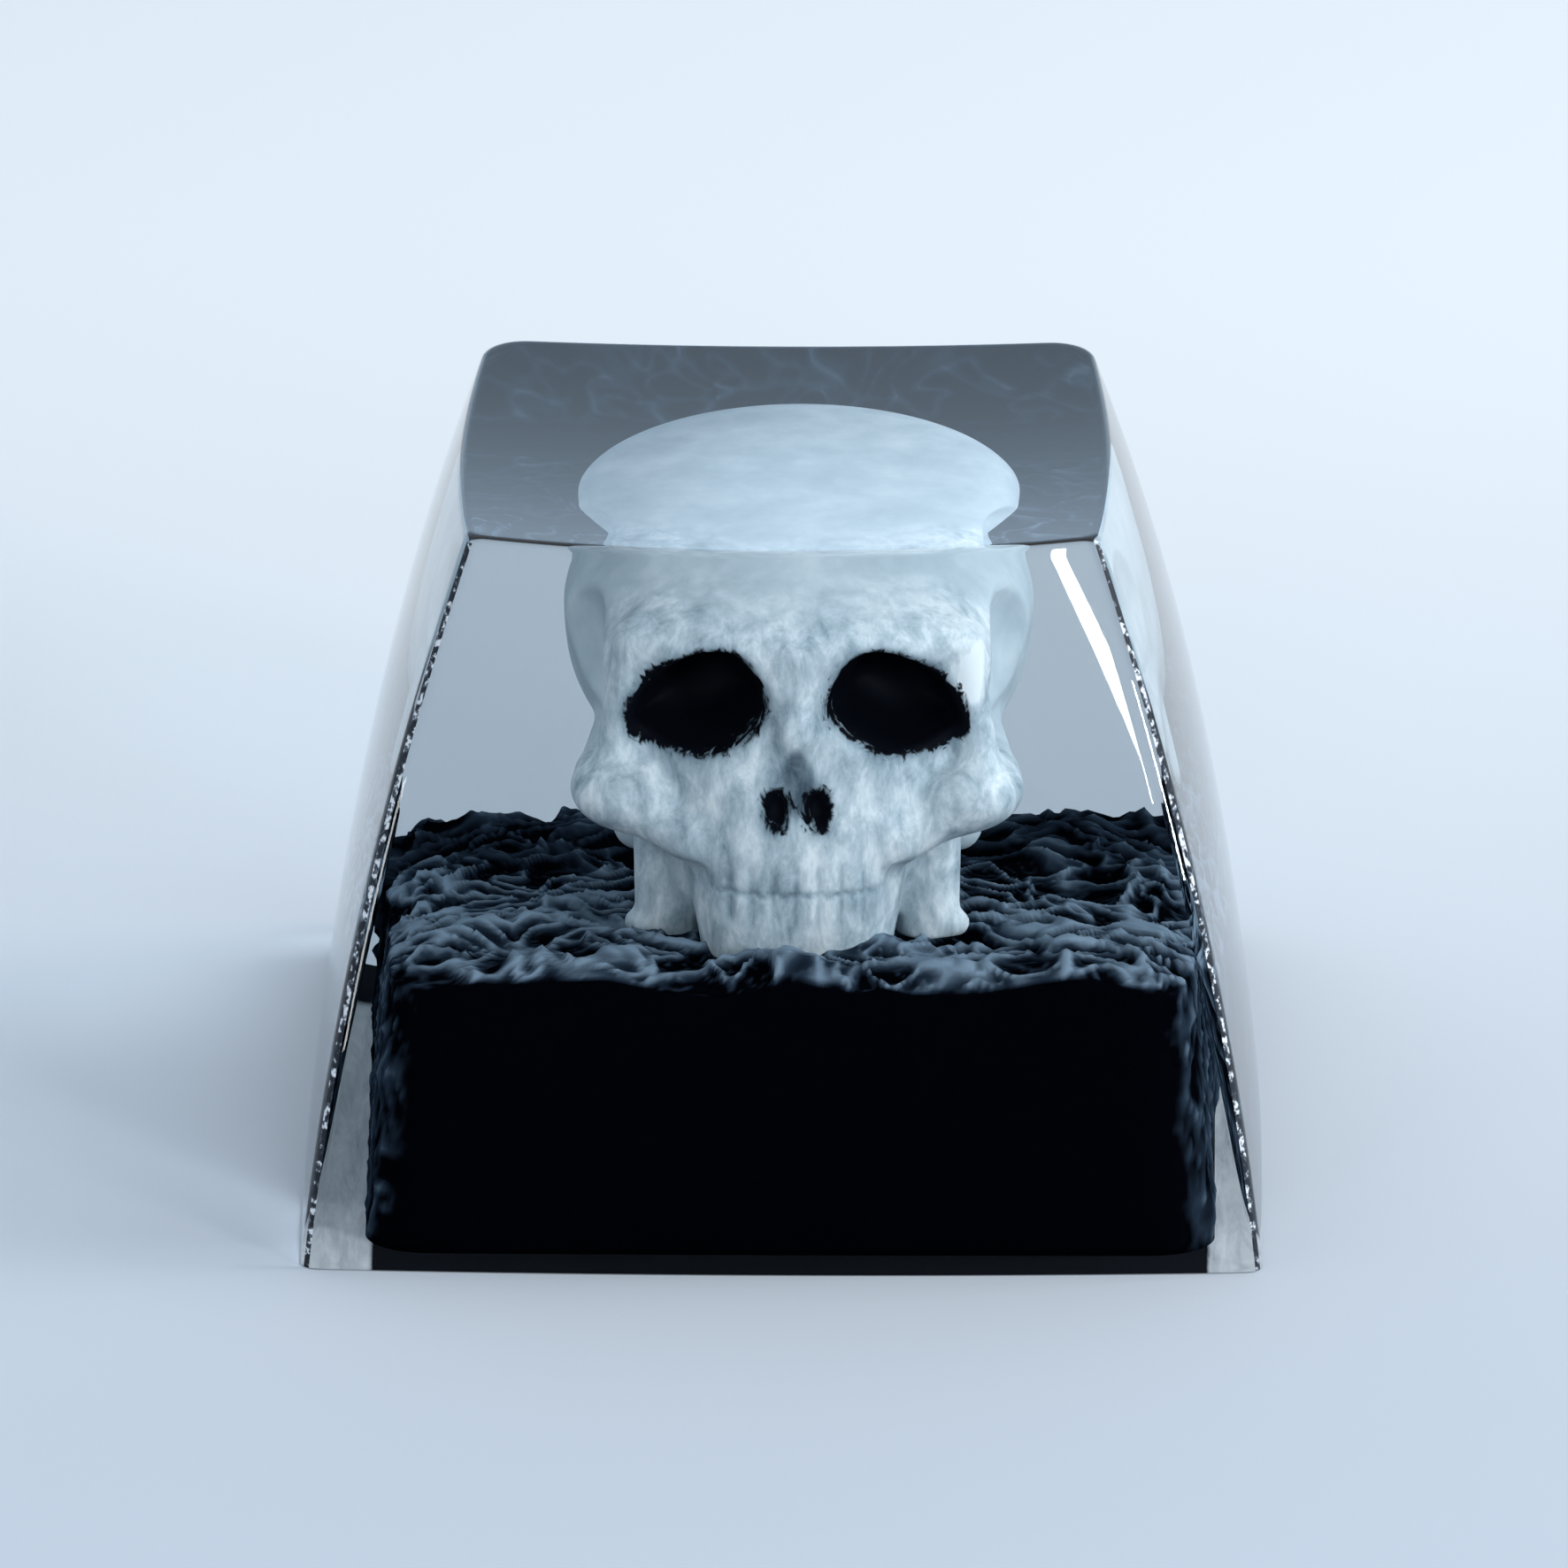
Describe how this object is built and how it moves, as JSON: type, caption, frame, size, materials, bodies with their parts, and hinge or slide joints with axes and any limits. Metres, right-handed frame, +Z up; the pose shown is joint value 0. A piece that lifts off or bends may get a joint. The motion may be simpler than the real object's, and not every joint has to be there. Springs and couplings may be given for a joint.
{
  "type": "artisan keycap",
  "caption": "Tall clear resin keycap with bowed walls and a dished top, holding a white skull on a black rock base with a cross-slotted stem underneath.",
  "frame": {"origin": "middle of the flat base, on the surface that the cap stands on", "axes": "+Z up out of the dished top, -Y towards the face of the skull, +X to its left"},
  "size_m": [0.0186, 0.0186, 0.0136],
  "materials": {
    "clear_resin": "clear polished resin",
    "black_resin": "rough cast black resin with lava-like ridges",
    "painted_white": "hand-painted white with black sockets"
  },
  "bodies": {
    "root": {"clear_cap": "clear_resin", "rock_base": "black_resin", "skull": "painted_white"}
  },
  "joints": []
}
